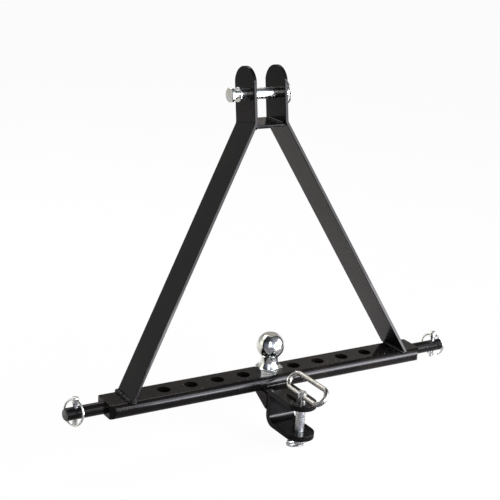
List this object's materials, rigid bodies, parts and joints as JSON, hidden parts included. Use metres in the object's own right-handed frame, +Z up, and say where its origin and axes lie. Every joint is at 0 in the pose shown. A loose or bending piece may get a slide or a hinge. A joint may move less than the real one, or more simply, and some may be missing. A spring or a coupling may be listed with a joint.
{
  "type": "tractor drawbar",
  "caption": "Black three-point linkage drawbar: drilled cross beam with round link pins, A-shaped mast with top link ears, zinc tow ball and a clevis jaw with a loop-handled pin.",
  "frame": {"origin": "middle of the lower link pins' common axis, at mid length of the beam", "axes": "+X along the beam to the right, +Y towards the tractor and square to the beam, +Z up"},
  "size_m": [0.806, 0.2869, 0.6424],
  "materials": {
    "black_paint": "black satin paint",
    "ball_zinc": "bright zinc plate",
    "pin_zinc": "bright zinc plate"
  },
  "bodies": {
    "frame": {"drawbar_beam": "black_paint", "left_arm": "black_paint", "right_arm": "black_paint", "tie_plate": "black_paint", "tow_ball": "ball_zinc", "ball_lock_washer": "ball_zinc", "ball_nut": "ball_zinc", "clevis_upper_ear": "black_paint", "clevis_lower_bar": "black_paint", "clevis_gusset_left": "black_paint", "clevis_gusset_right": "black_paint", "left_linch_pin": "pin_zinc", "right_linch_pin": "pin_zinc"},
    "left_ring": {"left_linch_ring": "pin_zinc"},
    "right_ring": {"right_linch_ring": "pin_zinc"},
    "top_pin": {"top_link_pin": "pin_zinc", "top_linch_pin": "pin_zinc"},
    "top_ring": {"top_linch_ring": "pin_zinc"},
    "clevis_pin": {"clevis_pin": "pin_zinc", "clevis_linch_pin": "pin_zinc"},
    "handle": {"loop_handle": "pin_zinc"},
    "clevis_ring": {"clevis_linch_ring": "pin_zinc"}
  },
  "joints": [
    {"name": "left_ring_swing", "type": "hinge", "parent": "frame", "child": "left_ring", "pos_m": [-0.383, 0, 0.0235], "axis": [-0.342, 0.9397, 0], "range_deg": [0, 165]},
    {"name": "right_ring_swing", "type": "hinge", "parent": "frame", "child": "right_ring", "pos_m": [0.383, 0, 0.0235], "axis": [0.4695, -0.8829, 0], "range_deg": [0, 165]},
    {"name": "top_pin_turn", "type": "hinge", "parent": "frame", "child": "top_pin", "pos_m": [0, 0.08665, 0.50412], "axis": [1, 0, 0], "continuous": true},
    {"name": "top_ring_swing", "type": "hinge", "parent": "top_pin", "child": "top_ring", "pos_m": [0.0435, 0.09073, 0.52726], "axis": [0, -0.9848, 0.1736], "range_deg": [0, 165]},
    {"name": "clevis_pin_turn", "type": "hinge", "parent": "frame", "child": "clevis_pin", "pos_m": [0, -0.109, 0], "axis": [0, 0, 1], "continuous": true},
    {"name": "handle_swing", "type": "hinge", "parent": "clevis_pin", "child": "handle", "pos_m": [0, -0.109, 0.0065], "axis": [0, 1, 0], "range_deg": [-128, 48]},
    {"name": "clevis_ring_swing", "type": "hinge", "parent": "clevis_pin", "child": "clevis_ring", "pos_m": [0.0235, -0.109, -0.078], "axis": [0, -0.9659, 0.2588], "range_deg": [0, 165]}
  ]
}
